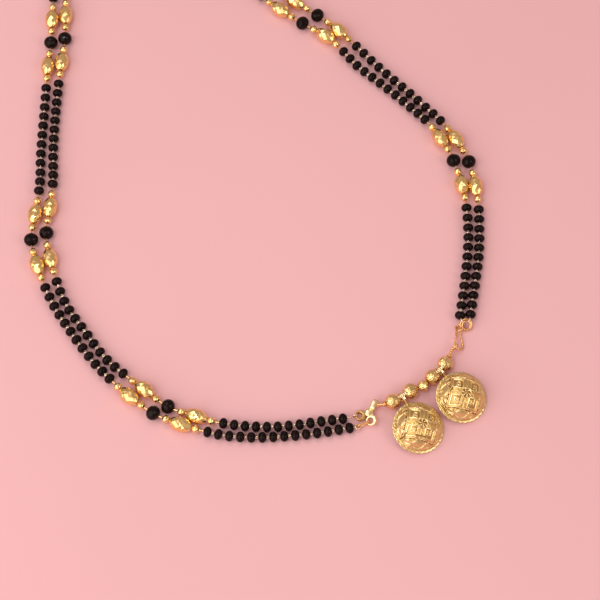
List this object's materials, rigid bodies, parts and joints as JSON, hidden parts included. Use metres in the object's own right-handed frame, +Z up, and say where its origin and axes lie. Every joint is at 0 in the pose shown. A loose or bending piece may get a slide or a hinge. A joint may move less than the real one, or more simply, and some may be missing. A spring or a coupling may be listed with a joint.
{
  "type": "mangalsutra",
  "caption": "Two-strand necklace of small black beads with gold bead groups and cut black crystals, and a centre pin of gold balls that carries two domed gold vati pendants.",
  "frame": {"origin": "middle of the bounding box of the necklace as it lies, on the surface under it", "axes": "+Z up from the surface, +Y from the pendants to the clasp, +X to the right of the necklace as seen from above"},
  "size_m": [0.1244, 0.2052, 0.0071],
  "materials": {
    "black_glass": "polished opaque black glass seed beads",
    "black_crystal": "cut and polished opaque black glass",
    "gold": "bright yellow gold plate, diamond cut",
    "gold_wire": "polished yellow gold wire"
  },
  "bodies": {
    "root": {"left_outer_black_beads": "black_glass", "left_inner_black_beads": "black_glass", "right_outer_black_beads": "black_glass", "right_inner_black_beads": "black_glass", "left_outer_crystals": "black_crystal", "left_inner_crystals": "black_crystal", "right_outer_crystals": "black_crystal", "right_inner_crystals": "black_crystal", "left_outer_gold_balls": "gold", "left_inner_gold_balls": "gold", "right_outer_gold_balls": "gold", "right_inner_gold_balls": "gold", "left_outer_gold_ovals": "gold", "left_inner_gold_ovals": "gold", "right_outer_gold_ovals": "gold", "right_inner_gold_ovals": "gold", "left_outer_threads": "gold_wire", "left_inner_threads": "gold_wire", "right_outer_threads": "gold_wire", "right_inner_threads": "gold_wire", "centre_pin": "gold_wire", "centre_ball_1": "gold", "centre_ball_2": "gold", "centre_ball_3": "gold", "centre_ball_4": "gold", "centre_ball_5": "gold", "left_pin_cap": "gold", "right_pin_cap": "gold", "left_vati": "gold", "right_vati": "gold", "left_connector": "gold", "left_link": "gold_wire", "right_ring": "gold_wire", "right_small_ring": "gold_wire", "right_oval_link": "gold_wire", "left_back_ring": "gold_wire", "right_back_ring": "gold_wire", "clasp_hook": "gold"}
  },
  "joints": []
}
